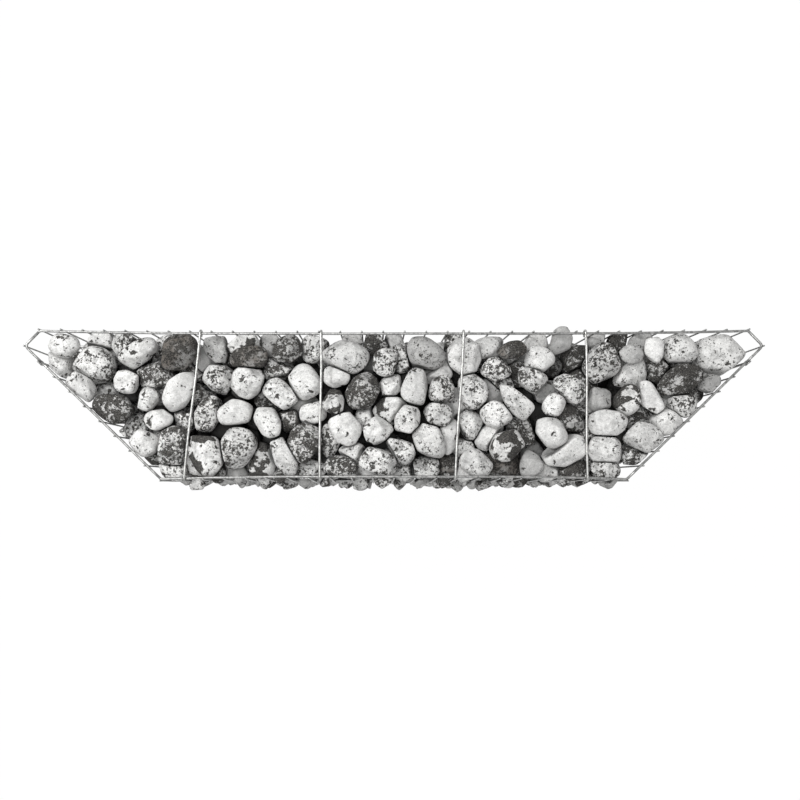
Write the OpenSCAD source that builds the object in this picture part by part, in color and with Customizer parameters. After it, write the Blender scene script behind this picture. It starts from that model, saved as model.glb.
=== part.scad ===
// Stone-filled gabion wall block with mitred ends, millimetres, standing on the ground at z = 0.
// Two welded wire sheets are bent round the outline: a front sheet with both mitred ends,
// and a back sheet with both blunt tips. Rings close the two seams, hooked ties hold
// the front and the back together, and the stones lie in the bays between the ties.

/* [Plan] */
// Spacing of the upright wires
pitch = 50; // [44:1:60]
// Gaps between uprights along the front
front_gaps = 22; // [18:1:26]
// Gaps between uprights along each mitred end
mitre_gaps = 9; // [7:1:11]
// Width of the blunt tip between each mitred end and the back
tip_width = 50; // [45:1:70]
// Angle between the back and each mitred end
mitre_angle = 44.4; // [42:0.2:52]

/* [Height] */
// Height of the rim wire above the ground
rim_height = 820; // [760:5:880]
// Gaps between level wires
row_gaps = 4; // [3:1:5]
// Length of upright below the lowest level wire
foot_length = 20; // [12:1:40]
// Length of upright above the middle of the rim wire
spike_length = 6; // [4:0.5:12]

/* [Wire] */
// Diameter of the level wires, the rim among them
level_d = 6; // [5:0.5:8]
// Diameter of the upright wires
upright_d = 4; // [3:0.5:5]
// Depth that welded wires sink into each other
weld_sink = 0.6; // [0.4:0.1:1]
// Inside radius of the bends in the level wires
bend_inside_r = 6; // [4:1:12]

/* [Ties] */
// Diameter of the tie wires
tie_d = 6; // [4:0.5:7]
// Room between a tie hook and the level wire in it
tie_seat = 0.3; // [0.2:0.1:0.5]
// Room between a tie and the upright beside it
tie_beside = 0.6; // [0.4:0.1:2]
// Straight tail of a tie hook under the level wire
tie_tail = 8; // [4:1:14]
// Where the front hooks lie along the front, as a share of its length
tie_front_share = [0.06, 0.33, 0.61, 0.93]; // [0:0.01:1]
// Place of the front hooks in their gap, from left (-1) to right (1)
tie_front_side = [-1, 0, 1, -1]; // [-1:0.1:1]
// Where the back hooks lie along the back, as a share of its length
tie_back_share = [0.225, 0.405, 0.585, 0.765]; // [0:0.005:1]
// Place of the back hooks in their gap, from left (-1) to right (1)
tie_back_side = [0, -1, 0.6, -0.25]; // [-1:0.05:1]

/* [Seams] */
// Distance from the tip bend to each seam
seam_length = 50; // [40:1:70]
// Diameter of the seam ring wire
ring_d = 3; // [2:0.5:4]
// Room between wires that touch at a seam
seam_gap = 0.3; // [0.2:0.1:0.5]
// Distance from a level wire down to the ring under it
ring_drop = 14; // [12:1:30]

/* [Stones] */
// Mean length of a stone with its share of the joints
stone_length = 96; // [80:1:104]
// Mean width of a stone with its share of the joints
stone_width = 76; // [64:1:84]
// Thickness of a stone
stone_thickness = 60; // [50:1:70]
// How much the stones differ in size, as a share of it
stone_spread = 0.13; // [0:0.01:0.16]
// Width of a joint between two stones, as a share of a stone
joint_share = 0.05; // [0.02:0.01:0.1]
// Depth of the joints between the stones
joint_depth = 25; // [18:1:28]
// How far the outer faces of the stones lie behind each other
stone_uneven = 8; // [2:1:10]
// How far pointed stones push out between the uprights, from the middle of the level wires
stone_push = 18; // [10:1:20]
// Room between the stones and the wires
stone_gap = 0.5; // [0.3:0.1:0.9]
// Drop from the rim wire to the highest stones
stone_drop = 10; // [8:1:60]
// Room that the stones leave in the blunt tips, as a share of a stone's width
tip_share = 0.6; // [0.4:0.05:0.8]

/* [Hidden] */

zinc = "lightgrey";
stone_grey = "gainsboro";
bar_sides = 8;
bend_fn = 48;

// Outline of the level wires' middle line, anticlockwise from the front left bend
front_length = front_gaps * pitch;
mitre_length = mitre_gaps * pitch;
across = [cos(mitre_angle), sin(mitre_angle)];
depth = mitre_length * across.y + tip_width * across.x;
back_length = front_length + 2 * (mitre_length * across.x - tip_width * across.y);
back_gaps = round(back_length / pitch);
back_pitch = back_length / back_gaps;
front_y = -depth / 2;
back_y = depth / 2;
tip_x = front_length / 2 + mitre_length * across.x;
tip_y = front_y + mitre_length * across.y;
corners = [
    [-front_length / 2, front_y], [front_length / 2, front_y], [tip_x, tip_y],
    [back_length / 2, back_y], [-back_length / 2, back_y], [-tip_x, tip_y]
];
corner_count = len(corners);
FRONT_LEFT = 0;
FRONT_RIGHT = 1;
TIP_RIGHT = 2;
BACK_RIGHT = 3;
END_LEFT = 5;

function next(i) = (i + 1) % corner_count;
function prior(i) = (i + corner_count - 1) % corner_count;
function unit(v) = v / norm(v);
function along(i) = unit(corners[next(i)] - corners[i]);
function outward(i) = [along(i).y, -along(i).x];
function heading(v) = atan2(v.y, v.x);

// Bends of the level wires, with an upright welded to the outside of each
bend_r = bend_inside_r + level_d / 2;
tip_turn = 90;
function turn(i) = acos(along(prior(i)) * along(i));
function bend_cut(i) = bend_r * tan(turn(i) / 2);
function bisector(i) = unit(outward(prior(i)) + outward(i));
function bend_centre(i) = corners[i] - bisector(i) * bend_r / cos(turn(i) / 2);
upright_out = (level_d + upright_d) / 2 - weld_sink;
function bend_upright(i) = bend_centre(i) + bisector(i) * (bend_r + upright_out);

// Heights of the level wires and of the uprights
row_pitch = (rim_height - foot_length) / row_gaps;
function row_z(row) = foot_length + row * row_pitch;
upright_top = rim_height + spike_length;

// Half the room taken by the two uprights that meet at a seam, and the place of the seam
seam_half = (upright_d + seam_gap) / 2;
seam_at = mitre_length - seam_length;
tip_return = seam_length - seam_gap / 2 - bend_cut(TIP_RIGHT);
ring_r = (upright_d + ring_d) / 2 + seam_gap;

// Ends of the ties, in the gaps between uprights
tie_count = len(tie_front_share);
upper_tie_row = row_gaps - 1;
lower_tie_row = 1;
hook_r = (level_d + tie_d) / 2 + tie_seat;
gap_side = (upright_d + tie_d) / 2 + tie_beside;
function gap_x(share, side, gaps, step) =
    (floor(share * gaps) + 0.5 - gaps / 2) * step + side * (step / 2 - gap_side);
function tie_front(i) = [gap_x(tie_front_share[i], tie_front_side[i], front_gaps, pitch), front_y];
function tie_back(i) = [gap_x(tie_back_share[i], tie_back_side[i], back_gaps, back_pitch), back_y];

// Heap of stones: each side set in from the wires, the tips further
stone_inset = level_d / 2 + stone_gap;
tip_room = tip_share * stone_width;
insets = [stone_inset, stone_inset, tip_room, stone_inset, tip_room, stone_inset];
heap_top = rim_height - stone_drop;
bay_split = tie_d / 2 + stone_gap;
function inset_corner(i) =
    let (a = outward(prior(i)), b = outward(i), da = insets[prior(i)], db = insets[i])
    corners[i] - [da * b.y - db * a.y, db * a.x - da * b.x] / (a.x * b.y - a.y * b.x);
function heap_room(p) = min([for (i = [0 : corner_count - 1]) (corners[i] - p) * outward(i) - insets[i]]);

// Point on the side of a bay beside a tie, or past the wires at the wall's two ends
function bay_edge(i, y, room) =
    i < 0 ? [-tip_x, y]
    : i >= tie_count ? [tip_x, y]
    : let (step = tie_back(i) - tie_front(i))
        tie_front(i) + step * (y - front_y) / step.y + [room * norm(step) / step.y, 0];
function bay_at(p) = len([for (i = [0 : tie_count - 1]) if (p.x > bay_edge(i, p.y, 0).x) i]);

// Stones: the cells of an uneven honeycomb, each with a smaller crown, sunk in the core of the heap
crown_share = 0.6;
stone_lean = 6;
point_share = 0.3;
point_base = 1.4 * pitch;
push_every = 2;
course_count = round(heap_top / stone_width);
row_count = round(depth / stone_width);
side_net = [stone_length / 2, heap_top / course_count];
top_net = [stone_length / 2, depth / row_count];
// Seemingly random share, from -1 to 1
function stray(a, b, c) =
    let (wave = 43758.5453 * sin(127.1 * a + 311.7 * b + 74.7 * c))
    2 * (wave - floor(wave)) - 1;
// Corner of the honeycomb over a course: a peak over each stone, a dip between two stones
function net_corner(net, i, course, seed) =
    let (peak = ((i + course) % 2 == 0 ? 1 : -1) / 6)
    [
        (i + 2 * stone_spread * stray(i, course, seed)) * net.x,
        (course + 1 + peak + stone_spread * stray(course, seed, i)) * net.y
    ];
function net_cell(net, i, course, seed) = [
    net_corner(net, i + 1, course - 1, seed), net_corner(net, i + 1, course, seed),
    net_corner(net, i, course, seed), net_corner(net, i - 1, course, seed),
    net_corner(net, i - 1, course - 1, seed), net_corner(net, i, course - 1, seed)
];
function mean(points) = [for (p = points) 1] * points / len(points);

// Straight bar from the origin along +X
module bar(length, d) {
    rotate([0, 90, 0]) cylinder(d = d, h = length, $fn = bar_sides);
}

// Bar bent from the origin, along +X at first, to the left by the given turn
module bent_bar(r, d, sweep) {
    translate([0, r, 0])
        rotate([0, 0, -90])
            rotate_extrude(angle = sweep, $fn = bend_fn)
                translate([r, 0])
                    circle(d = d, $fn = bar_sides);
}

// Places its children on one side of the outline: +X along the side, +Y inwards
module on_side(i, distance) {
    start = corners[i] + along(i) * distance;
    translate([start.x, start.y, 0])
        rotate([0, 0, heading(along(i))])
            children();
}

module at_rows(first_row) {
    for (row = [first_row : row_gaps])
        translate([0, 0, row_z(row)])
            children();
}

module upright() {
    cylinder(d = upright_d, h = upright_top, $fn = bar_sides);
}

module side_upright(i, distance) {
    on_side(i, distance) translate([0, -upright_out, 0]) upright();
}

module corner_upright(i) {
    translate([bend_upright(i).x, bend_upright(i).y, 0]) upright();
}

// A long side of the wall: level wires with a bend at both ends, and all its uprights
module long_side(i, length, gaps) {
    straight = length - 2 * bend_cut(i);
    on_side(i, bend_cut(i))
        at_rows(0) {
            bar(straight, level_d);
            translate([straight, 0, 0]) bent_bar(bend_r, level_d, turn(next(i)));
            mirror([1, 0, 0]) bent_bar(bend_r, level_d, turn(i));
        }
    for (gap = [1 : gaps - 1])
        side_upright(i, gap * length / gaps);
    corner_upright(i);
    corner_upright(next(i));
}

module front_mesh() {
    color(zinc) long_side(FRONT_LEFT, front_length, front_gaps);
}

module back_mesh() {
    color(zinc) long_side(BACK_RIGHT, back_length, back_gaps);
}

// Mitred end of the front sheet, from the front bend to its last upright at the seam
module right_end_mesh() {
    color(zinc) {
        on_side(FRONT_RIGHT, bend_cut(FRONT_RIGHT))
            at_rows(0)
                bar(seam_at - seam_gap / 2 - bend_cut(FRONT_RIGHT), level_d);
        for (gap = [1 : floor(seam_at / pitch - 0.5)])
            side_upright(FRONT_RIGHT, gap * pitch);
        side_upright(FRONT_RIGHT, seam_at - seam_half);
    }
}

// Return of the back sheet along the mitred end, from the tip bend to the seam
module right_return_mesh() {
    color(zinc) {
        on_side(FRONT_RIGHT, seam_at + seam_gap / 2)
            at_rows(0)
                bar(tip_return, level_d);
        side_upright(FRONT_RIGHT, seam_at + seam_half);
    }
}

// Blunt tip of the back sheet, with the bend that its return starts from
module right_tip_mesh() {
    color(zinc) {
        on_side(FRONT_RIGHT, seam_at + seam_gap / 2)
            at_rows(0)
                translate([tip_return, 0, 0]) {
                    bent_bar(bend_r, level_d, tip_turn);
                    translate([bend_r, bend_r, 0])
                        rotate([0, 0, tip_turn])
                            bar(tip_width - bend_cut(TIP_RIGHT) - bend_cut(BACK_RIGHT), level_d);
                }
        corner_upright(TIP_RIGHT);
    }
}

module left_end_mesh() {
    mirror([1, 0, 0]) right_end_mesh();
}

module left_return_mesh() {
    mirror([1, 0, 0]) right_return_mesh();
}

module left_tip_mesh() {
    mirror([1, 0, 0]) right_tip_mesh();
}

// Long rings round the two uprights of a seam, one under each level wire but the lowest
module right_seam_rings() {
    color(zinc)
        on_side(FRONT_RIGHT, seam_at)
            at_rows(1)
                translate([0, -upright_out, -ring_drop])
                    for (side = [0, 180])
                        rotate([0, 0, side]) half_ring();
}

module half_ring() {
    translate([-seam_half, -ring_r, 0]) bar(2 * seam_half, ring_d);
    translate([seam_half, -ring_r, 0]) bent_bar(ring_r, ring_d, 180);
}

module left_seam_rings() {
    mirror([1, 0, 0]) right_seam_rings();
}

// Tie from the front level wire to the back one, hooked over both from above
module tie(i, row) {
    span = norm(tie_back(i) - tie_front(i));
    color(zinc)
        translate([tie_front(i).x, tie_front(i).y, row_z(row)])
            rotate([0, 0, heading(tie_back(i) - tie_front(i))]) {
                translate([0, 0, hook_r]) bar(span, tie_d);
                tie_hook();
                translate([span, 0, 0]) mirror([1, 0, 0]) tie_hook();
            }
}

// Half turn down round the level wire, then a short tail back under it
module tie_hook() {
    translate([0, 0, hook_r])
        mirror([1, 0, 0])
            rotate([-90, 0, 0])
                bent_bar(hook_r, tie_d, 180);
    translate([0, 0, -hook_r]) bar(tie_tail, tie_d);
}

// Stone over a cell of the honeycomb, its crown upwards at z = 0 or a little lower
module stone(cell, a, b, c) {
    middle = mean(cell);
    outline = [for (p = cell) (1 - joint_share) * (p - middle)];
    drop = stone_uneven * (1 + stray(c, b, a)) / 2;
    translate([middle.x, middle.y, -drop - stone_thickness / 2])
        rotate(stone_lean * [stray(a, c, b), stray(b, a, c), 0])
            hull()
                for (half = [0, 1])
                    mirror([0, 0, half])
                        linear_extrude(stone_thickness / 2, scale = crown_share) polygon(outline);
}

// Stones of one bay that lie in courses against one side of the mesh
module side_stones(bay, i) {
    start = inset_corner(i);
    ends = floor(norm(inset_corner(next(i)) - start) / side_net.x);
    for (course = [0 : course_count - 1], place = [0 : ends])
        if ((course + place) % 2 == 0) {
            cell = net_cell(side_net, place, course, i);
            if (bay_at(start + along(i) * mean(cell).x) == bay)
                translate([start.x, start.y, 0])
                    rotate([90, 0, heading(along(i))])
                        stone(cell, place, course, i);
        }
}

// Stones of one bay that lie open on top, inside those along the sides
module top_stones(bay) {
    start = [-tip_x, front_y];
    for (row = [0 : row_count - 1], place = [0 : floor(2 * tip_x / top_net.x)])
        if ((row + place) % 2 == 0) {
            cell = net_cell(top_net, place, row, corner_count);
            middle = start + mean(cell);
            if (bay_at(middle) == bay && heap_room(middle) > stone_width / 2)
                translate([start.x, start.y, heap_top])
                    stone(cell, place, row, corner_count);
        }
}

// Stones of one bay that push a point out through a gap of a long side that no tie runs through
module pushing_stones(bay, i, gaps, step) {
    for (gap = [1 : push_every : gaps - 1]) {
        row = floor(row_gaps * (1 + stray(gap, i, 1)) / 2);
        z = row_z(row + 1 / 2) + row_pitch / 6 * stray(gap, i, 2);
        cell = net_cell(side_net, gap, row, i);
        start = corners[i] + along(i) * step * gap;
        if (bay_at(start) == bay && bay_at(start + along(i) * step) == bay)
            on_side(i, step * (gap + 0.5))
                translate([0, stone_thickness, z])
                    rotate([90, 0, 0])
                        hull()
                            linear_extrude(stone_thickness + stone_push, scale = point_share)
                                polygon([for (p = cell) point_base / stone_length * (p - mean(cell))]);
    }
}

// Whole heap up to a height, set in on all sides, and reaching below the ground to be cut off there
module heap(top, inset) {
    translate([0, 0, -stone_thickness])
        linear_extrude(stone_thickness + top)
            offset(delta = -inset)
                polygon([for (i = [0 : corner_count - 1]) inset_corner(i)]);
}

// Stones between two ties, fused with the core of the heap
module stone_bay(bay) {
    color(stone_grey)
        intersection() {
            linear_extrude(upright_top)
                polygon([
                    bay_edge(bay - 1, -depth, bay_split), bay_edge(bay, -depth, -bay_split),
                    bay_edge(bay, depth, -bay_split), bay_edge(bay - 1, depth, bay_split)
                ]);
            union() {
                heap(heap_top - joint_depth, joint_depth);
                intersection() {
                    heap(heap_top, 0);
                    union() {
                        for (i = [FRONT_LEFT, FRONT_RIGHT, BACK_RIGHT, END_LEFT])
                            side_stones(bay, i);
                        top_stones(bay);
                    }
                }
                pushing_stones(bay, FRONT_LEFT, front_gaps, pitch);
                pushing_stones(bay, BACK_RIGHT, back_gaps, back_pitch);
            }
        }
}

front_mesh();
left_end_mesh();
right_end_mesh();
back_mesh();
left_tip_mesh();
right_tip_mesh();
left_return_mesh();
right_return_mesh();
left_seam_rings();
right_seam_rings();
for (i = [0 : tie_count - 1]) {
    tie(i, row_gaps);
    tie(i, upper_tie_row);
    tie(i, lower_tie_row);
}
for (bay = [0 : tie_count])
    stone_bay(bay);
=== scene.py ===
import math

import bpy
import numpy as np
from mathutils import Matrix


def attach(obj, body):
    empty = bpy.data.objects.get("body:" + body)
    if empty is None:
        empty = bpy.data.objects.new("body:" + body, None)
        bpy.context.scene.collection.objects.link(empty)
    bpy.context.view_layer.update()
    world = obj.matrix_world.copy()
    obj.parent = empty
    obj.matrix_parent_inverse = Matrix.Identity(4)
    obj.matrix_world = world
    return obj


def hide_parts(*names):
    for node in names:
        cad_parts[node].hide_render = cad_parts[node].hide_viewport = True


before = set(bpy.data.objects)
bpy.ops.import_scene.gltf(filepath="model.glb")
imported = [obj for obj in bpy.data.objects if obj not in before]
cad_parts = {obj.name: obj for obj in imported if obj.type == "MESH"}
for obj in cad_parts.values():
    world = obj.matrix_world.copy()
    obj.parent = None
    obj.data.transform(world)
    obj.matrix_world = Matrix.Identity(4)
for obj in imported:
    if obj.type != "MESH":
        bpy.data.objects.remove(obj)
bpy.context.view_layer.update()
print("frame loaded:", len(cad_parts), "nodes")

# the wall's own sizes in metres, the same as the solids have
wall = {
    "pitch": 0.050,
    "frontGaps": 22,
    "mitreGaps": 9,
    "tipWidth": 0.050,
    "mitreAngle": math.radians(44.4),
    "rimHeight": 0.820,
    "footLength": 0.020,
    "rowGaps": 4,
    "seamLength": 0.050,
}

frontLength = wall["frontGaps"] * wall["pitch"]
mitreLength = wall["mitreGaps"] * wall["pitch"]
mitreX = math.cos(wall["mitreAngle"])
mitreY = math.sin(wall["mitreAngle"])
wallDepth = mitreLength * mitreY + wall["tipWidth"] * mitreX
backLength = frontLength + 2 * (mitreLength * mitreX - wall["tipWidth"] * mitreY)
backGaps = round(backLength / wall["pitch"])
frontY = -wallDepth / 2
backY = wallDepth / 2
tipX = frontLength / 2 + mitreLength * mitreX
tipY = frontY + mitreLength * mitreY
rowPitch = (wall["rimHeight"] - wall["footLength"]) / wall["rowGaps"]
rowHeights = [wall["footLength"] + row * rowPitch for row in range(wall["rowGaps"] + 1)]

# corners of the level wires' middle line, anticlockwise from the front left bend
corners = np.array([
    (-frontLength / 2, frontY),
    (frontLength / 2, frontY),
    (tipX, tipY),
    (backLength / 2, backY),
    (-backLength / 2, backY),
    (-tipX, tipY),
])
sideCount = len(corners)
frontSide, rightSide, rightTip, backSide, leftTip, leftSide = range(sideCount)
along = np.roll(corners, -1, axis=0) - corners
along = along / np.linalg.norm(along, axis=1)[:, None]
outward = np.stack([along[:, 1], -along[:, 0]], axis=1)


def sidePoint(side, distance, out=0.0):
    return corners[side] + along[side] * distance + outward[side] * out


# the rim ties pull the long sides in a little, and the stones press them out lower down
sideBow = {
    "most": 0.0065,
    "heights": (0.0, 0.22, 0.42, 0.62, 0.82),
    "shares": (0.0, -0.35, -0.6, -0.35, 1.0),
    "flatness": 4,  # a higher power keeps the middle of a side straighter
}


def halfLengthAt(y):
    return np.interp(y, [frontY, tipY, backY], [frontLength / 2, tipX, backLength / 2])


def bowShift(points):
    toEnd = np.abs(points[:, 0]) / halfLengthAt(points[:, 1])
    profile = np.clip(1 - toEnd ** sideBow["flatness"], 0, 1)
    share = np.interp(points[:, 2], sideBow["heights"], sideBow["shares"])
    inward = np.clip(-points[:, 1] / backY, -1, 1)
    return profile * share * inward * sideBow["most"]


def bowed(points):
    points = np.array(points, float)
    points[:, 1] += bowShift(points)
    return points


# the camera stands over the front rim and looks straight down
photoView = {
    "imageSize": 800,            # pixels
    "nadirX": 376.0,             # pixel straight under the camera
    "nadirY": 483.0,
    "wallMiddleX": 394.0,        # pixel of the wall's middle
    "frontRimY": 479.3,          # pixel of the front rim wire
    "metresPerPixel": 0.002362,  # at the rim
    "aboveRim": 1.70,
    "sensor": 36.0,
    "clipEnd": 50.0,
}
cameraPlace = np.array([
    (photoView["nadirX"] - photoView["wallMiddleX"]) * photoView["metresPerPixel"],
    frontY - (photoView["nadirY"] - photoView["frontRimY"]) * photoView["metresPerPixel"],
    wall["rimHeight"] + photoView["aboveRim"],
])
focalPixels = photoView["aboveRim"] / photoView["metresPerPixel"]


def planPoint(pixelX, pixelY, height):
    metresPerPixel = (cameraPlace[2] - height) / focalPixels
    x = cameraPlace[0] + (pixelX - photoView["nadirX"]) * metresPerPixel
    y = cameraPlace[1] + (photoView["nadirY"] - pixelY) * metresPerPixel
    place = np.array([[x, y, height]])
    place[:, 1] -= bowShift(place)
    return place[0]


def makeCamera():
    data = bpy.data.cameras.new("photoCamera")
    data.sensor_width = photoView["sensor"]
    data.lens = photoView["sensor"] * focalPixels / photoView["imageSize"]
    middle = photoView["imageSize"] / 2
    data.shift_x = (middle - photoView["nadirX"]) / photoView["imageSize"]
    data.shift_y = (photoView["nadirY"] - middle) / photoView["imageSize"]
    data.clip_end = photoView["clipEnd"]
    camera = bpy.data.objects.new("photoCamera", data)
    camera.location = cameraPlace
    bpy.context.scene.collection.objects.link(camera)
    bpy.context.scene.camera = camera


makeCamera()
print("camera over the front rim, lens", round(bpy.context.scene.camera.data.lens, 2))


# small helpers for node materials
def newMaterial(name):
    material = bpy.data.materials.new(name)
    material.use_nodes = True
    tree = material.node_tree
    return material, tree, tree.nodes["Principled BSDF"]


def addNode(tree, kind, settings=None, inputs=None):
    node = tree.nodes.new(kind)
    for key, value in (settings or {}).items():
        setattr(node, key, value)
    for key, value in (inputs or {}).items():
        if isinstance(value, bpy.types.NodeSocket):
            tree.links.new(value, node.inputs[key])
        else:
            node.inputs[key].default_value = value
    return node


def mathNode(tree, operation, first, second):
    return addNode(tree, "ShaderNodeMath", {"operation": operation}, {0: first, 1: second}).outputs[0]


def times(tree, value, *others):
    for other in others:
        value = mathNode(tree, "MULTIPLY", value, other)
    return value


def noise(tree, vector, settings):
    # settings are scale, detail, roughness and, where there is any, distortion
    inputs = dict(zip(("Scale", "Detail", "Roughness", "Distortion"), settings))
    return addNode(tree, "ShaderNodeTexNoise", None, {"Vector": vector, **inputs}).outputs["Fac"]


def band(tree, value, levels):
    # levels are two input values and what they become, which is 0 and 1 where it isn't given
    inputs = dict(zip(("From Min", "From Max", "To Min", "To Max"), levels))
    settings = {"interpolation_type": "SMOOTHSTEP"}
    return addNode(tree, "ShaderNodeMapRange", settings, {"Value": value, **inputs}).outputs["Result"]


def mixColour(tree, factor, first, second, blend="MIX"):
    # inputs 6 and 7 and output 2 are the mix node's colours
    settings = {"data_type": "RGBA", "blend_type": blend}
    return addNode(tree, "ShaderNodeMix", settings, {0: factor, 6: first, 7: second}).outputs[2]


def addBump(tree, shader, look, height):
    inputs = {"Strength": look["bumpStrength"], "Distance": look["bumpDistance"], "Height": height}
    bump = addNode(tree, "ShaderNodeBump", None, inputs)
    tree.links.new(bump.outputs["Normal"], shader.inputs["Normal"])


# galvanised wire: dull zinc with spangle, smears and a little dirt
zincLook = {
    "bright": (0.37, 0.37, 0.363, 1),
    "dull": (0.20, 0.20, 0.197, 1),
    "dirtAndPaintedShade": (0.070, 0.067, 0.061, 1),
    "spangleScale": 240.0,
    "spangleShare": 0.35,
    "smearNoise": (60.0, 4.0, 0.6),
    "smearShare": 0.8,
    "brightBand": (0.35, 0.8),
    "dirtNoise": (34.0, 5.0, 0.7),
    "dirtBand": (0.56, 0.74, 0.0, 0.55),
    "roughBand": (0.3, 0.7, 0.26, 0.46),
    "bumpStrength": 0.25,
    "bumpDistance": 0.0004,
}
tieLook = {
    **zincLook,
    "bright": (0.46, 0.46, 0.448, 1),
    "dull": (0.27, 0.27, 0.262, 1),
}


def makeZinc(name, look):
    material, tree, shader = newMaterial(name)
    place = addNode(tree, "ShaderNodeTexCoord").outputs["Object"]
    spangle = addNode(tree, "ShaderNodeTexVoronoi", None, {"Vector": place, "Scale": look["spangleScale"]})
    grain = addNode(tree, "ShaderNodeSeparateColor", None, {"Color": spangle.outputs["Color"]}).outputs[0]
    smear = noise(tree, place, look["smearNoise"])
    grainLevel = times(tree, grain, look["spangleShare"])
    blotch = mathNode(tree, "ADD", grainLevel, times(tree, smear, look["smearShare"]))
    colour = mixColour(tree, band(tree, blotch, look["brightBand"]), look["dull"], look["bright"])
    dirtMask = band(tree, noise(tree, place, look["dirtNoise"]), look["dirtBand"])
    colour = mixColour(tree, dirtMask, colour, look["dirtAndPaintedShade"])
    tree.links.new(colour, shader.inputs["Base Color"])
    tree.links.new(band(tree, smear, look["roughBand"]), shader.inputs["Roughness"])
    shader.inputs["Metallic"].default_value = 1.0
    addBump(tree, shader, look, smear)
    return material


# stone: white, mottled or dark by the tone that each stone carries
stoneLook = {
    "dark": (0.012, 0.0115, 0.011, 1),
    "darkGrain": (0.105, 0.100, 0.092, 1),
    "brown": (0.120, 0.103, 0.087, 1),
    # colour of the painted shade where stones touch and deep in the heap
    "dirtAndPaintedShade": (0.008, 0.0075, 0.007, 1),
    "tint": (1.0, 0.996, 0.978, 1),
    "cloudNoise": (26.0, 4.0, 0.55),
    "cloudBand": (0.3, 0.7, 0.86, 1.05),
    "grainNoise": (430.0, 2.0, 0.6),
    "grainBand": (0.28, 0.72, 0.80, 1.08),
    "fleckNoise": (150.0, 3.0, 0.6),
    "fleckBand": (0.34, 0.62, 0.86, 1.03),
    "stainNoise": (46.0, 5.0, 0.62, 0.5),
    "stainBand": (0.46, 0.66),
    "stainPerPepper": 0.62,
    "stainMost": 0.55,
    "earthBand": (0.35, 0.62, 0.1, 1.0),
    "fieldNoise": (30.0, 2.0, 0.5, 0.3),
    "fieldMiddle": 0.5,
    "spotNoise": (62.0, 5.0, 0.6, 0.4),
    "spotLevel": 0.66,           # noise above a level is dark, over a narrow edge
    "spotCrowd": 0.45,
    "spotEdge": 0.02,
    "coarseNoise": (105.0, 4.0, 0.62, 0.3),
    "fineNoise": (180.0, 3.0, 0.6, 0.2),
    "speckLevel": 0.78,
    "speckPerPepper": 0.27,
    "speckCrowd": 0.5,
    "speckEdge": 0.012,
    "patchNoise": (19.0, 8.0, 0.55, 0.2),
    "patchLevel": 0.80,
    "patchPerShare": 0.38,
    "patchEdge": 0.012,
    "mostDark": 0.97,
    "mostFine": 0.92,
    "darkBand": (0.38, 0.66),
    "roughness": 0.86,
    "specular": 0.12,
    "bumpNoise": (240.0, 4.0, 0.65),
    "bumpStrength": 0.7,
    "bumpDistance": 0.0014,
    "speckSink": 0.6,
    "patchSink": 0.5,
}


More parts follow.
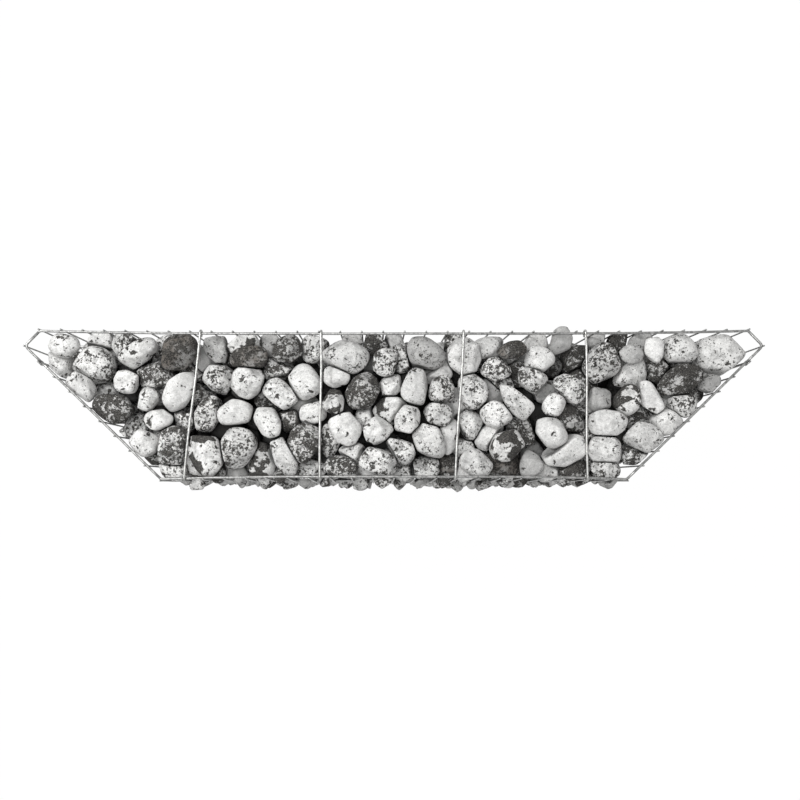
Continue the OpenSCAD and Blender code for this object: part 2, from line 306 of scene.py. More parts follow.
def makeStone(name, look):
    material, tree, shader = newMaterial(name)
    spot = addNode(tree, "ShaderNodeAttribute", {"attribute_name": "stoneSpot"}).outputs["Vector"]
    tone = addNode(tree, "ShaderNodeAttribute", {"attribute_name": "stoneTone"})
    # stoneShade carries the painted shade at contacts and deep in the heap
    shade = addNode(tree, "ShaderNodeAttribute", {"attribute_name": "stoneShade"}).outputs["Fac"]
    parts = addNode(tree, "ShaderNodeSeparateColor", None, {"Color": tone.outputs["Color"]})
    patchShare = parts.outputs[0]
    lightness = parts.outputs[1]
    brownness = parts.outputs[2]
    pepper = tone.outputs["Alpha"]
    # pale ground, cloudy, grained and flecked, with stains where there is much pepper
    cloud = noise(tree, spot, look["cloudNoise"])
    grain = noise(tree, spot, look["grainNoise"])
    fleck = noise(tree, spot, look["fleckNoise"])
    stain = band(tree, noise(tree, spot, look["stainNoise"]), look["stainBand"])
    stainDepth = mathNode(tree, "MINIMUM", times(tree, pepper, look["stainPerPepper"]), look["stainMost"])
    unstained = mathNode(tree, "SUBTRACT", 1.0, times(tree, stain, stainDepth))
    cloudLevel = band(tree, cloud, look["cloudBand"])
    grainLevel = band(tree, grain, look["grainBand"])
    fleckLevel = band(tree, fleck, look["fleckBand"])
    level = times(tree, cloudLevel, grainLevel, fleckLevel, lightness, unstained)
    pale = addNode(tree, "ShaderNodeCombineColor", None, {0: level, 1: level, 2: level}).outputs[0]
    pale = mixColour(tree, 1.0, pale, look["tint"], "MULTIPLY")
    earth = mixColour(tree, band(tree, cloud, look["earthBand"]), pale, look["brown"])
    pale = mixColour(tree, brownness, pale, earth)
    # a few black spots, and dark specks in two sizes, crowded where a slow field is high
    field = mathNode(tree, "SUBTRACT", noise(tree, spot, look["fieldNoise"]), look["fieldMiddle"])
    spotLow = mathNode(tree, "SUBTRACT", look["spotLevel"], times(tree, field, look["spotCrowd"]))
    spotHigh = mathNode(tree, "ADD", spotLow, look["spotEdge"])
    spots = band(tree, noise(tree, spot, look["spotNoise"]), (spotLow, spotHigh, 0.0, look["mostDark"]))
    edge = mathNode(tree, "SUBTRACT", look["speckLevel"], times(tree, pepper, look["speckPerPepper"]))
    edge = mathNode(tree, "SUBTRACT", edge, times(tree, field, pepper, look["speckCrowd"]))
    edgeLow = mathNode(tree, "SUBTRACT", edge, look["speckEdge"])
    edgeHigh = mathNode(tree, "ADD", edge, look["speckEdge"])
    coarse = band(tree, noise(tree, spot, look["coarseNoise"]), (edgeLow, edgeHigh, 0.0, look["mostDark"]))
    fine = band(tree, noise(tree, spot, look["fineNoise"]), (edgeLow, edgeHigh, 0.0, look["mostFine"]))
    speck = mathNode(tree, "MAXIMUM", mathNode(tree, "MAXIMUM", coarse, fine), spots)
    # one crisp ragged patch on some stones
    patchDrop = times(tree, patchShare, look["patchPerShare"])
    patchLow = mathNode(tree, "SUBTRACT", look["patchLevel"], patchDrop)
    patchHigh = mathNode(tree, "ADD", patchLow, look["patchEdge"])
    patch = band(tree, noise(tree, spot, look["patchNoise"]), (patchLow, patchHigh, 0.0, look["mostDark"]))
    darkTone = mixColour(tree, band(tree, grain, look["darkBand"]), look["dark"], look["darkGrain"])
    colour = mixColour(tree, mathNode(tree, "MAXIMUM", speck, patch), pale, darkTone)
    # painted shade where stones touch and on loose stones deep in the heap
    colour = mixColour(tree, shade, look["dirtAndPaintedShade"], colour)
    tree.links.new(colour, shader.inputs["Base Color"])
    shader.inputs["Roughness"].default_value = look["roughness"]
    shader.inputs["Specular IOR Level"].default_value = look["specular"]
    # specks and patches lie a little deeper
    height = noise(tree, spot, look["bumpNoise"])
    height = mathNode(tree, "SUBTRACT", height, times(tree, speck, look["speckSink"]))
    height = mathNode(tree, "SUBTRACT", height, times(tree, patch, look["patchSink"]))
    addBump(tree, shader, look, height)
    return material


wireZinc = makeZinc("galvanisedWire", zincLook)
tieZinc = makeZinc("galvanisedTie", tieLook)
pebbleStone = makeStone("speckledPebble", stoneLook)
print("materials made")


# wires are tubes swept along flat paths and joined into one mesh for each piece
wireShape = {
    "levelRadius": 0.0030,
    "uprightRadius": 0.0020,
    "tieRadius": 0.0030,
    "ringRadius": 0.0015,
    "weldSink": 0.0006,
    "bendRadius": 0.0090,
    "spikeLength": 0.006,
    "spikeSpread": 0.0012,
    "waver": 0.00035,
    "sides": 12,
    "cutBevel": 0.35,            # of a wire's radius, at a cut end
    "cutRadius": 0.7,
    "bendPoints": 7,
    "uprightPoints": 17,
    "runStep": 0.025,
    "seamHalfGap": 0.00015,      # half the gap between the two uprights of a seam
    "weldSize": (0.0030, 0.0019, 0.0026),
    "weldRings": 4,
    "weldSteps": 8,
    "seed": 5,
}
uprightOut = wireShape["levelRadius"] + wireShape["uprightRadius"] - wireShape["weldSink"]
upward = np.array([0.0, 0.0, 1.0])
wireRandom = np.random.default_rng(wireShape["seed"])


def tube(path, radius, flat, ends="cut"):
    # ends are cut with a short bevel, plain where another wire carries on, or joined to a loop
    path = np.asarray(path, float)
    if ends == "cut":
        bevel = wireShape["cutBevel"] * radius
        first = path[0] + (path[1] - path[0]) / np.linalg.norm(path[1] - path[0]) * bevel
        last = path[-1] + (path[-2] - path[-1]) / np.linalg.norm(path[-2] - path[-1]) * bevel
        path = np.vstack([path[:1], first, path[1:-1], last, path[-1:]])
    radii = np.full(len(path), radius)
    if ends == "cut":
        radii[[0, -1]] *= wireShape["cutRadius"]
    if ends == "loop":
        heading = np.roll(path, -1, axis=0) - np.roll(path, 1, axis=0)
    else:
        heading = np.gradient(path, axis=0)
    heading = heading / np.linalg.norm(heading, axis=1)[:, None]
    side = flat - heading * (heading @ flat)[:, None]
    side = side / np.linalg.norm(side, axis=1)[:, None]
    other = np.cross(heading, side)
    sides = wireShape["sides"]
    turn = np.arange(sides)[None, :, None] * 2 * math.pi / sides
    ring = np.cos(turn) * side[:, None, :] + np.sin(turn) * other[:, None, :]
    points = (path[:, None, :] + ring * radii[:, None, None]).reshape(-1, 3)
    faces = []
    for k in range(len(path) if ends == "loop" else len(path) - 1):
        here = k * sides
        after = (k + 1) % len(path) * sides
        for j in range(sides):
            beside = (j + 1) % sides
            faces.append((here + j, here + beside, after + beside, after + j))
    if ends != "loop":
        faces.append(tuple(range(sides))[::-1])
        faces.append(tuple(range(len(points) - sides, len(points))))
    return points, faces


def weldBlob(place, out):
    rings = wireShape["weldRings"]
    steps = wireShape["weldSteps"]
    lift, depth, width = wireShape["weldSize"]
    poleGap = 0.02  # leaves a small flat at the top and the bottom
    sideways = np.array([-out[1], out[0]])
    points = []
    for k in range(rings + 1):
        tilt = math.pi * (k + poleGap) / (rings + 2 * poleGap)
        for j in range(steps):
            turn = 2 * math.pi * j / steps
            across = width * math.sin(tilt) * math.cos(turn)
            through = depth * math.sin(tilt) * math.sin(turn)
            plan = place[:2] + sideways * across + out * through
            points.append((plan[0], plan[1], place[2] + lift * math.cos(tilt)))
    faces = []
    for k in range(rings):
        for j in range(steps):
            near = k * steps + j
            beside = k * steps + (j + 1) % steps
            faces.append((near, beside, beside + steps, near + steps))
    faces.append(tuple(range(steps))[::-1])
    faces.append(tuple(range(rings * steps, (rings + 1) * steps)))
    return np.array(points), faces


def bendArc(corner, steps=wireShape["bendPoints"]):
    before = outward[corner - 1]
    after = outward[corner]
    turn = math.acos(np.clip(before @ after, -1, 1))
    middle = (before + after) / np.linalg.norm(before + after)
    centre = corners[corner] - middle * wireShape["bendRadius"] / math.cos(turn / 2)
    start = math.atan2(before[1], before[0])
    angles = start + np.linspace(0, turn, steps)
    return centre + wireShape["bendRadius"] * np.stack([np.cos(angles), np.sin(angles)], axis=1)


def bendCut(corner):
    turn = math.acos(np.clip(outward[corner - 1] @ outward[corner], -1, 1))
    return wireShape["bendRadius"] * math.tan(turn / 2)


def bendUpright(corner):
    middle = outward[corner - 1] + outward[corner]
    middle = middle / np.linalg.norm(middle)
    return bendArc(corner, 3)[1] + middle * uprightOut, middle  # out from the middle of the arc


def waverPath(path):
    drift = np.pad(wireRandom.normal(0, 1, (len(path), 3)), ((2, 2), (0, 0)), "edge")
    kernel = np.array([1, 2, 3, 2, 1]) / 9  # a soft average of five points
    smooth = np.stack([np.convolve(drift[:, axis], kernel, "valid") for axis in range(3)], axis=1)
    smooth[[0, -1]] = 0
    return path + smooth * wireShape["waver"]


def levelWire(planPath, height):
    path = np.column_stack([planPath, np.full(len(planPath), height)])
    return tube(waverPath(path), wireShape["levelRadius"], upward, "plain")


def uprightWire(place, out):
    top = wall["rimHeight"] + wireShape["spikeLength"]
    top -= abs(wireRandom.normal(0, wireShape["spikeSpread"]))
    heights = np.append(np.linspace(0, wall["rimHeight"], wireShape["uprightPoints"]), top)
    path = np.column_stack([np.tile(place, (len(heights), 1)), heights])
    path[1:-2] = waverPath(path[1:-2])
    return tube(path, wireShape["uprightRadius"], np.append(out, 0.0))


def straightRun(side, start, end):
    count = max(2, int(round((end - start) / wireShape["runStep"])) + 1)
    return np.array([sidePoint(side, distance) for distance in np.linspace(start, end, count)])


def meshSheet(planPath, uprights):
    parts = [levelWire(planPath, height) for height in rowHeights]
    for place, out in uprights:
        parts.append(uprightWire(place, out))
        contact = place - out * (uprightOut - wireShape["levelRadius"])
        for height in rowHeights:
            parts.append(weldBlob(np.append(contact, height), out))
    return parts


def sideUprights(side, distances):
    return [(sidePoint(side, distance, uprightOut), outward[side]) for distance in distances]


def mirrored(parts):
    flip = np.array([-1, 1, 1])
    return [(points * flip, [face[::-1] for face in faces]) for points, faces in parts]


def placePiece(name, mesh, material, slot, *nodes):
    mesh.materials.append(material)
    piece = bpy.data.objects.new(name, mesh)
    bpy.context.scene.collection.objects.link(piece)
    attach(piece, "root")
    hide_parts(*nodes)


def joinParts(name, parts, material, slot, *nodes):
    points = []
    faces = []
    offset = 0
    for partPoints, partFaces in parts:
        points.append(partPoints)
        faces.extend(tuple(index + offset for index in face) for face in partFaces)
        offset += len(partPoints)
    mesh = bpy.data.meshes.new(name)
    mesh.from_pydata(bowed(np.vstack(points)).tolist(), [], faces)
    mesh.polygons.foreach_set("use_smooth", [True] * len(mesh.polygons))
    placePiece(name, mesh, material, slot, *nodes)


def longSide(side, length, gaps):
    last = (side + 1) % sideCount
    straight = straightRun(side, bendCut(side), length - bendCut(last))
    planPath = np.vstack([bendArc(side)[:-1], straight, bendArc(last)[1:]])
    uprights = sideUprights(side, [gap * length / gaps for gap in range(1, gaps)])
    uprights += [bendUpright(side), bendUpright(last)]
    return meshSheet(planPath, uprights)


seamAt = mitreLength - wall["seamLength"]
seamHalf = wireShape["uprightRadius"] + wireShape["seamHalfGap"]


def mitredEnd():
    planPath = straightRun(rightSide, bendCut(rightSide), seamAt - wireShape["seamHalfGap"])
    gaps = int(seamAt / wall["pitch"] - 0.5)  # the last upright stands at the seam instead
    distances = [gap * wall["pitch"] for gap in range(1, gaps + 1)] + [seamAt - seamHalf]
    return meshSheet(planPath, sideUprights(rightSide, distances))


def bluntTip():
    back = straightRun(rightSide, seamAt + wireShape["seamHalfGap"], mitreLength - bendCut(rightTip))
    front = straightRun(rightTip, bendCut(rightTip), wall["tipWidth"] - bendCut(backSide))
    planPath = np.vstack([back, bendArc(rightTip)[1:-1], front])
    uprights = sideUprights(rightSide, [seamAt + seamHalf]) + [bendUpright(rightTip)]
    return meshSheet(planPath, uprights)


def wirePiece(name, parts, *nodes):
    joinParts(name, parts, wireZinc, "zinc_wire", *nodes)


wirePiece("frontMesh", longSide(frontSide, frontLength, wall["frontGaps"]), "front_mesh")
wirePiece("backMesh", longSide(backSide, backLength, backGaps), "back_mesh")
wirePiece("rightEndMesh", mitredEnd(), "right_end_mesh")
wirePiece("leftEndMesh", mirrored(mitredEnd()), "left_end_mesh")
wirePiece("rightTipMesh", bluntTip(), "right_tip_mesh", "right_return_mesh")
wirePiece("leftTipMesh", mirrored(bluntTip()), "left_tip_mesh", "left_return_mesh")
print("mesh sheets welded")

# closing rings round the two uprights of each seam
seamRing = {
    "drop": 0.014,
    "clearance": 0.0003,
    "steps": 12,
}


def seamRings():
    radius = wireShape["uprightRadius"] + wireShape["ringRadius"] + seamRing["clearance"]
    centre = sidePoint(rightSide, seamAt, uprightOut)
    turns = np.linspace(-math.pi / 2, math.pi / 2, seamRing["steps"])
    half = np.stack([seamHalf + radius * np.cos(turns), radius * np.sin(turns)], axis=1)
    loop = np.vstack([half, -half])
    plan = centre + loop[:, :1] * along[rightSide] + loop[:, 1:] * outward[rightSide]
    parts = []
    for height in rowHeights[1:]:
        path = np.column_stack([plan, np.full(len(plan), height - seamRing["drop"])])
        parts.append(tube(path, wireShape["ringRadius"], upward, "loop"))
    return parts


wirePiece("rightSeamRings", seamRings(), "right_seam_rings")
wirePiece("leftSeamRings", mirrored(seamRings()), "left_seam_rings")
print("seams closed")

# cross ties, hooked over the front and back level wires
crossTies = {
    "frontShare": (0.06, 0.33, 0.61, 0.93),     # which gap each end stands in, as a share of the side
    "frontPlace": (-1, 0, 1, -1),               # and where in the gap, from upright to upright
    "backShare": (0.225, 0.405, 0.585, 0.765),
    "backPlace": (0, -1, 0.6, -0.25),
    "beside": 0.0006,
    "seat": 0.0003,
    "tail": 0.008,
    "rows": {"rim": 4, "upper": 3, "lower": 1},
    "bow": 0.0012,
    "hookPoints": 11,
    "runPoints": 15,
}
hookRadius = wireShape["levelRadius"] + wireShape["tieRadius"] + crossTies["seat"]


def tieEnd(share, place, gaps, length, y):
    step = length / gaps
    room = step / 2 - wireShape["uprightRadius"] - wireShape["tieRadius"] - crossTies["beside"]
    return np.array([(math.floor(share * gaps) + 0.5 - gaps / 2) * step + place * room, y])


tieFronts = [
    tieEnd(share, place, wall["frontGaps"], frontLength, frontY)
    for share, place in zip(crossTies["frontShare"], crossTies["frontPlace"])
]
tieBacks = [
    tieEnd(share, place, backGaps, backLength, backY)
    for share, place in zip(crossTies["backShare"], crossTies["backPlace"])
]


def crossTie(front, back, height):
    span = np.linalg.norm(back - front)
    heading = (back - front) / span
    across = np.array([-heading[1], heading[0]])
    turns = np.linspace(-math.pi / 2, math.pi / 2, crossTies["hookPoints"])
    frontHook = np.stack([-hookRadius * np.cos(turns), hookRadius * np.sin(turns)], axis=1)
    backHook = (frontHook * (-1, 1) + (span, 0))[::-1]
    run = np.linspace(0, span, crossTies["runPoints"])[1:-1]
    straight = np.stack([run, np.full(len(run), hookRadius)], axis=1)
    frontTail = [crossTies["tail"], -hookRadius]
    backTail = [span - crossTies["tail"], -hookRadius]
    profile = np.vstack([frontTail, frontHook, straight, backHook, backTail])
    sway = np.zeros(len(profile))
    first = 1 + len(frontHook)
    sway[first:first + len(run)] = crossTies["bow"] * np.sin(run / span * math.pi * 2)
    plan = front + profile[:, :1] * heading + sway[:, None] * across
    path = np.column_stack([plan, height + profile[:, 1]])
    return [tube(path, wireShape["tieRadius"], np.append(across, 0.0))]


for rowName, row in crossTies["rows"].items():
    for k, (front, back) in enumerate(zip(tieFronts, tieBacks)):
        tie = crossTie(front, back, rowHeights[row])
        joinParts(f"{rowName}Tie{k + 1}", tie, tieZinc, "tie_wire", f"{rowName}_tie_{k + 1}")
print("cross ties hooked on")

# stones: kinds by patch share, lightness, brownness and pepper
stoneKinds = {
    "white": (0.22, 0.83, 0.0, 0.50),
    "clean": (0.0, 0.85, 0.0, 0.34),
    "speckled": (0.16, 0.81, 0.0, 0.66),
    "mottled": (0.20, 0.82, 0.0, 0.82),
    "patched": (0.66, 0.82, 0.0, 0.46),
    "dark": (0.10, 0.64, 0.05, 1.06),
    "brown": (0.30, 0.38, 0.80, 1.00),
    "grey": (0.05, 0.54, 0.06, 0.42),
}

# stones seen from above: pixel x and y, length and width in pixels, turn in degrees, kind
# and layer from the top
seenStones = [
    (63, 346, 36, 24, -10, "white", 0), (60, 366, 28, 26, -45, "white", 1),
    (94, 365, 47, 42, -20, "mottled", 0), (100, 340, 34, 24, 5, "white", 1),
    (127, 344, 28, 24, 0, "mottled", 1), (139, 353, 41, 23, 38, "patched", 0),
    (178, 352, 46, 34, 52, "brown", 0), (127, 381, 25, 25, 0, "white", 0),
    (81, 386, 34, 22, -50, "white", 0), (156, 375, 38, 26, 15, "dark", 1),
    (179, 392, 50, 26, 65, "clean", 0), (148, 399, 24, 22, 70, "white", 0),
    (114, 408, 47, 31, 0, "dark", 0), (161, 394, 26, 24, 0, "mottled", 2),
    (158, 419, 29, 22, 12, "white", 0), (145, 443, 34, 27, -10, "white", 0),
    (172, 446, 40, 34, 70, "mottled", 0), (125, 433, 26, 22, 30, "mottled", 2),
    (138, 425, 26, 22, 0, "mottled", 2), (172, 469, 28, 20, -20, "mottled", 1),
    (188, 417, 27, 24, 40, "mottled", 1), (200, 397, 30, 28, 0, "dark", 2),
    (209, 414, 42, 22, 62, "mottled", 1), (206, 453, 48, 33, -62, "patched", 0),
    (218, 348, 31, 23, -60, "grey", 1), (206, 363, 30, 20, 80, "grey", 2),
    (244, 343, 34, 20, 0, "patched", 1), (248, 359, 40, 25, 8, "brown", 0),
    (247, 381, 36, 34, 40, "white", 0), (219, 379, 30, 27, 50, "mottled", 1),
    (235, 412, 36, 29, 5, "white", 0), (238, 448, 49, 35, 62, "mottled", 0),
    (260, 460, 32, 30, 80, "patched", 1), (113, 419, 26, 20, -20, "grey", 2),
    (156, 459, 26, 22, 0, "dark", 2), (165, 345, 24, 20, 0, "mottled", 2),
    (199, 372, 30, 28, 0, "dark", 2), (287, 350, 32, 28, 30, "dark", 0),
    (269, 345, 26, 24, 0, "grey", 2), (278, 371, 32, 24, 10, "mottled", 1),
    (304, 383, 40, 32, -62, "white", 0), (281, 394, 44, 23, -40, "white", 0),
    (303, 405, 28, 24, 20, "grey", 2), (269, 423, 41, 25, -62, "clean", 0),
    (289, 420, 27, 23, -30, "dark", 1), (312, 414, 30, 22, 40, "white", 1),
    (268, 400, 26, 22, 0, "dark", 2), (305, 443, 41, 33, 70, "dark", 0),
    (284, 454, 46, 24, -68, "white", 0), (312, 470, 28, 22, 0, "mottled", 2),
    (346, 357, 50, 34, -15, "white", 0), (315, 348, 30, 26, 40, "mottled", 1),
    (353, 340, 28, 22, 0, "grey", 2), (337, 377, 29, 23, -15, "white", 0),
    (334, 403, 27, 22, 80, "patched", 0), (362, 392, 44, 34, 70, "dark", 0),
    (385, 362, 31, 26, 80, "mottled", 0), (403, 359, 28, 24, -50, "mottled", 1),
    (373, 345, 30, 22, 0, "dark", 2), (393, 342, 28, 22, 0, "grey", 2),
    (425, 354, 43, 31, -35, "grey", 0), (438, 372, 30, 22, 10, "white", 1),
    (390, 386, 26, 19, 40, "white", 1), (415, 386, 42, 30, 85, "white", 0),
    (441, 390, 31, 27, -70, "mottled", 0), (464, 357, 40, 33, -75, "white", 0),
    (391, 411, 36, 27, 42, "patched", 1), (407, 420, 34, 25, 80, "white", 0),
    (437, 414, 30, 26, -40, "mottled", 0), (346, 429, 36, 29, -62, "white", 0),
    (367, 420, 24, 22, 0, "mottled", 2), (377, 431, 30, 26, 40, "patched", 0),
    (399, 450, 33, 27, -32, "mottled", 0), (429, 441, 43, 29, -65, "white", 0),
    (448, 436, 36, 22, 75, "white", 1), (330, 440, 34, 20, 85, "mottled", 1),
    (343, 467, 36, 20, -5, "mottled", 1), (353, 452, 28, 22, 10, "white", 1),
    (379, 461, 43, 29, -10, "mottled", 0), (426, 468, 28, 22, 0, "mottled", 1),
    (408, 470, 24, 20, 0, "mottled", 2), (443, 466, 26, 24, 0, "brown", 2),
    (473, 391, 38, 29, -75, "mottled", 0), (494, 391, 28, 22, -60, "grey", 2),
    (495, 369, 31, 26, 20, "mottled", 0), (487, 347, 32, 22, 5, "white", 1),
    (511, 350, 32, 17, 10, "brown", 0), (500, 385, 26, 20, 0, "mottled", 2),
    (496, 414, 30, 28, 30, "white", 0), (516, 402, 47, 21, -44, "white", 0),
    (470, 425, 31, 24, 75, "white", 1), (489, 436, 33, 22, 45, "white", 1),
    (507, 446, 35, 30, 20, "patched", 0), (476, 464, 33, 28, -35, "white", 0),
    (504, 464, 32, 26, 0, "brown", 2), (464, 446, 24, 20, 0, "mottled", 2),
    (532, 379, 32, 24, -38, "mottled", 0), (448, 338, 24, 22, 0, "dark", 2),
    (456, 404, 28, 24, 80, "white", 2), (538, 361, 32, 30, -25, "white", 0),
    (533, 342, 30, 22, 0, "white", 2), (562, 340, 34, 25, 82, "grey", 3),
    (575, 359, 30, 28, 0, "dark", 2), (570, 388, 36, 27, -58, "mottled", 0),
    (554, 405, 29, 21, 55, "white", 0), (547, 391, 26, 22, 0, "grey", 2),
    (569, 418, 34, 21, -42, "dark", 1), (551, 432, 37, 28, -55, "clean", 0),
    (563, 451, 46, 32, 28, "clean", 0), (532, 464, 26, 22, 80, "grey", 1),
    (549, 470, 26, 20, 0, "white", 2), (573, 470, 28, 20, -30, "dark", 1),
    (602, 365, 44, 37, 60, "mottled", 0), (631, 354, 24, 20, -30, "grey", 0),
    (618, 341, 30, 22, 0, "dark", 2), (599, 339, 26, 22, 0, "grey", 2),
    (639, 343, 28, 22, 30, "grey", 1), (654, 349, 30, 18, 86, "clean", 0),
    (680, 350, 35, 33, -25, "white", 0), (720, 355, 50, 44, -15, "white", 0),
    (711, 386, 24, 20, 40, "grey", 1), (679, 381, 50, 29, 37, "dark", 0),
    (657, 371, 28, 22, -20, "dark", 1), (631, 375, 38, 24, 24, "white", 1),
    (627, 400, 31, 28, 50, "patched", 0), (649, 398, 37, 20, -58, "clean", 0),
    (599, 399, 26, 24, -60, "grey", 0), (608, 423, 38, 26, -5, "white", 0),
    (636, 417, 28, 20, 5, "mottled", 2), (682, 405, 31, 24, -15, "mottled", 0),
    (666, 423, 33, 30, 60, "white", 0), (643, 437, 42, 29, -14, "white", 0),
    (634, 454, 26, 23, 70, "mottled", 1), (606, 451, 35, 30, -15, "white", 0),
    (605, 470, 31, 21, -5, "mottled", 0), (582, 408, 26, 24, 0, "dark", 2),
    (695, 393, 28, 24, 0, "dark", 2), (582, 432, 28, 24, 0, "dark", 2),
    (520, 432, 28, 24, 0, "dark", 2), (586, 380, 28, 24, 0, "dark", 2),
    (520, 375, 26, 22, 0, "dark", 2),
]
seenCount = len(seenStones)

# stones that push out between the front uprights: pixel x and y of the tip, height, kind
frontStones = [
    (193, 494, 0.74, "mottled"), (206, 487, 0.68, "mottled"), (217, 486, 0.74, "dark"),
    (228, 488, 0.62, "white"), (244, 490, 0.70, "mottled"), (256, 488, 0.56, "grey"),
    (267, 490, 0.66, "mottled"), (280, 488, 0.74, "dark"), (292, 494, 0.58, "mottled"),
    (308, 491, 0.69, "grey"), (320, 489, 0.50, "mottled"), (330, 490, 0.72, "dark"),
    (345, 490, 0.60, "mottled"), (357, 497, 0.70, "mottled"), (373, 490, 0.55, "grey"),
    (384, 489, 0.72, "mottled"), (396, 490, 0.63, "mottled"), (413, 492, 0.72, "grey"),
    (425, 489, 0.52, "mottled"), (433, 492, 0.66, "mottled"), (445, 489, 0.74, "dark"),
    (456, 494, 0.60, "mottled"), (468, 489, 0.70, "mottled"), (486, 494, 0.66, "mottled"),
    (498, 488, 0.56, "mottled"), (509, 490, 0.72, "mottled"), (521, 488, 0.62, "white"),
    (533, 488, 0.71, "grey"), (551, 488, 0.66, "white"), (577, 491, 0.74, "dark"),
    (592, 487, 0.70, "mottled"), (608, 491, 0.76, "grey"),
]
fixedCount = seenCount + len(frontStones)

# how the seen stones lie, by layer
seenFit = {
    "drop": (0.006, 0.036, 0.062, 0.010),   # top of each layer under the rim wire
    "size": (1.08, 1.20, 1.30, 1.10),
    "jitter": (-0.008, 0.006),
    "outlineDrop": 0.02,                    # the outline that shows lies this far under the top
    "thickness": (0.75, 0.95),              # share of the width
    "tilt": 0.15,
    "mostLowered": 0.02,
    "throughLayer": 3,                      # a stone in this layer is pushed out through the back
    "throughReach": 0.012,
}

# how the front stones point out, with a corner first
frontFit = {
    "reach": 0.2125,                        # how far forward they may come
    "half": (0.022, 0.020, 0.022),
    "spread": (0.8, 1.25),
    "offMiddle": 0.5,                       # share of the way from the gap's middle to the tip's pixel
    "toTip": 1.2,                           # from the middle of a stone to its tip, in half lengths
    "tilt": 0.3,
    "turn": 0.35,
}

# the loose fill under and behind them
stoneFill = {
    "seed": 21,
    "count": 1750,
    "groundCount": 120,                     # of these, the ones that lie on the ground
    "length": (0.060, 0.100),
    "width": (0.70, 0.95),                  # share of the length
    "thickness": (0.55, 0.82),              # share of the length
    "tilt": 0.7,
    "top": 0.045,                           # top of the loose fill under the rim wire
    "tipRoom": 0.043,                       # the tips stay empty
    "startRoom": 0.03,
    "startMargin": 0.015,
    "kindShares": {
        "white": 0.30, "clean": 0.07, "speckled": 0.18, "mottled": 0.17,
        "patched": 0.07, "dark": 0.12, "brown": 0.03, "grey": 0.06,
    },
}
stoneRandom = np.random.default_rng(stoneFill["seed"])

# how far out stones may stand on each side
sideOffsets = np.sum(corners * outward, axis=1)
sideOffsets[[rightTip, leftTip]] -= stoneFill["tipRoom"]


def randomTilt(count, most):
    return stoneRandom.uniform(-most, most, (count, 2))


def turnMatrices(spin, tilt):
    # turns about both level axes, then round the upright one
    roll, nod = tilt.T
    one = np.ones(len(spin))
    zero = np.zeros(len(spin))
    about = [
        ((np.cos(spin), -np.sin(spin), zero), (np.sin(spin), np.cos(spin), zero), (zero, zero, one)),
        ((one, zero, zero), (zero, np.cos(roll), -np.sin(roll)), (zero, np.sin(roll), np.cos(roll))),
        ((np.cos(nod), zero, np.sin(nod)), (zero, one, zero), (-np.sin(nod), zero, np.cos(nod))),
    ]
    first, second, third = (np.moveaxis(np.array(rows), 2, 0) for rows in about)
    return first @ second @ third


def reach(shapes, direction):
    # how far each ellipsoid reaches along a direction
    return np.linalg.norm(np.einsum("nij,nj->ni", shapes, direction), axis=1)


def seenStoneShapes():
    places = []
    halves = []
    spins = []
    kinds = []
    for pixelX, pixelY, length, width, turn, kind, layer in seenStones:
        top = wall["rimHeight"] - seenFit["drop"][layer] + stoneRandom.uniform(*seenFit["jitter"])
        scale = (cameraPlace[2] - top + seenFit["outlineDrop"]) / focalPixels
        thick = width * stoneRandom.uniform(*seenFit["thickness"])
        half = np.array([length, width, thick]) * scale / 2
        places.append(planPoint(pixelX, pixelY, top - half[2]))
        halves.append(half * seenFit["size"][layer])
        spins.append(math.radians(turn))
        kinds.append(kind)
    tilt = randomTilt(seenCount, seenFit["tilt"])
    return np.array(places), np.array(halves), turnMatrices(np.array(spins), tilt), kinds


def frontStoneShapes():
    places = []
    halves = []
    kinds = []
    for pixelX, pixelY, height, kind in frontStones:
        tip = planPoint(pixelX, pixelY, height)
        gap = math.floor((tip[0] + frontLength / 2) / wall["pitch"]) + 0.5
        gapX = gap * wall["pitch"] - frontLength / 2
        half = np.array(frontFit["half"]) * stoneRandom.uniform(*frontFit["spread"], 3)
        tipOut = min(-tip[1], frontFit["reach"])
        x = gapX + frontFit["offMiddle"] * (tip[0] - gapX)
        places.append((x, -tipOut + half[0] * frontFit["toTip"], height))
        halves.append(half)
        kinds.append(kind)
    tilt = randomTilt(len(places), frontFit["tilt"])
    spins = math.pi / 4 + stoneRandom.uniform(-frontFit["turn"], frontFit["turn"], len(places))
    return np.array(places), np.array(halves), turnMatrices(spins, tilt), kinds


def looseStoneShapes():
    count = stoneFill["count"]
    length = stoneRandom.uniform(*stoneFill["length"], count)
    width = length * stoneRandom.uniform(*stoneFill["width"], count)
    thick = np.minimum(width, length * stoneRandom.uniform(*stoneFill["thickness"], count))
    halves = np.stack([length, width, thick], axis=1) / 2
    low = np.array([-tipX, frontY, stoneFill["startRoom"]])
    high = np.array([tipX, backY, wall["rimHeight"] - stoneFill["top"] - stoneFill["startRoom"]])
    places = np.zeros((0, 3))
    while len(places) < count:
        tries = stoneRandom.uniform(low, high, (count, 3))
        inside = np.all(tries[:, :2] @ outward.T < sideOffsets - stoneFill["startMargin"], axis=1)
        places = np.vstack([places, tries[inside]])
    shares = stoneFill["kindShares"]
    kinds = stoneRandom.choice(list(shares), count, p=list(shares.values()))
    tilt = randomTilt(count, stoneFill["tilt"])
    spins = stoneRandom.uniform(0, 2 * math.pi, count)
    return places[:count], halves, turnMatrices(spins, tilt), list(kinds)


